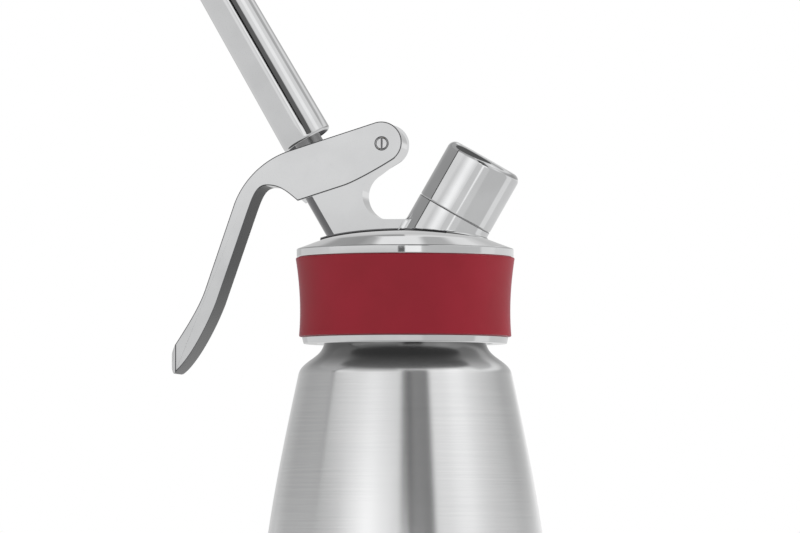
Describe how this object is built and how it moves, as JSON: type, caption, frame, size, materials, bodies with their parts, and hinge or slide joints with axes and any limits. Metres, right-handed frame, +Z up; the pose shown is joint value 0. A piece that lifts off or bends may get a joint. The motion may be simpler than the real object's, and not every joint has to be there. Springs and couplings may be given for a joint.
{
  "type": "whipped cream dispenser",
  "caption": "Steel pressure bottle with a screw-on head, silicone grip band, trigger lever, slanted decorator tip and a capped port for a gas charger.",
  "frame": {"origin": "centre of the ring the bottle stands on, on the bottle's axis", "axes": "+Z up along the bottle's axis, -X towards the trigger and the decorator tip, +X towards the charger port, XZ is the plane of symmetry"},
  "size_m": [0.1234, 0.095, 0.277],
  "materials": {
    "brushed_steel": "fine horizontal brushing",
    "polished_steel": "polished",
    "turned_steel": "turned",
    "red_silicone": "matte silicone",
    "black_rubber": "matte",
    "bearing_brass": "turned"
  },
  "bodies": {
    "bottle": {"bottle": "brushed_steel"},
    "head": {"head_body": "polished_steel", "grip_band": "red_silicone", "head_gasket": "red_silicone", "lower_oring": "black_rubber", "upper_oring": "black_rubber", "return_spring": "turned_steel", "spring_seat": "turned_steel", "guide_bush": "turned_steel", "pivot_bush": "bearing_brass", "piercing_pin": "turned_steel", "charger_gasket": "black_rubber", "gas_filter": "bearing_brass", "check_valve": "red_silicone"},
    "lever": {"lever": "polished_steel", "pivot_screw": "turned_steel"},
    "valve": {"valve_stem": "turned_steel", "valve_seal": "red_silicone", "spring_collar": "turned_steel", "thrust_washer": "turned_steel"},
    "tip": {"decorator_tip": "polished_steel", "tip_gasket": "black_rubber"},
    "cap": {"protective_cap": "polished_steel", "cap_liner": "red_silicone"}
  },
  "joints": [
    {"name": "head_lift", "type": "slide", "parent": "bottle", "child": "head", "axis": [0, 0, 1], "range_m": [0, 0.045]},
    {"name": "lever_squeeze", "type": "hinge", "parent": "head", "child": "lever", "pos_m": [-0.0064, 0, 0.2115], "axis": [0, -1, 0], "range_deg": [0, 8.4], "stiffness_Nm_per_rad": 2, "springref_deg": -8.59},
    {"name": "valve_travel", "type": "slide", "parent": "head", "child": "valve", "axis": [0.5, 0, -0.866], "range_m": [0, 0.0031], "deforming": ["return_spring"]},
    {"name": "tip_off", "type": "slide", "parent": "valve", "child": "tip", "axis": [-0.5, 0, 0.866], "range_m": [0, 0.02]},
    {"name": "cap_off", "type": "slide", "parent": "head", "child": "cap", "axis": [0.5, 0, 0.866], "range_m": [0, 0.02]}
  ],
  "couplings": [
    {"joint": "valve_travel", "follows": "lever_squeeze", "m_per_rad": 0.0211}
  ]
}
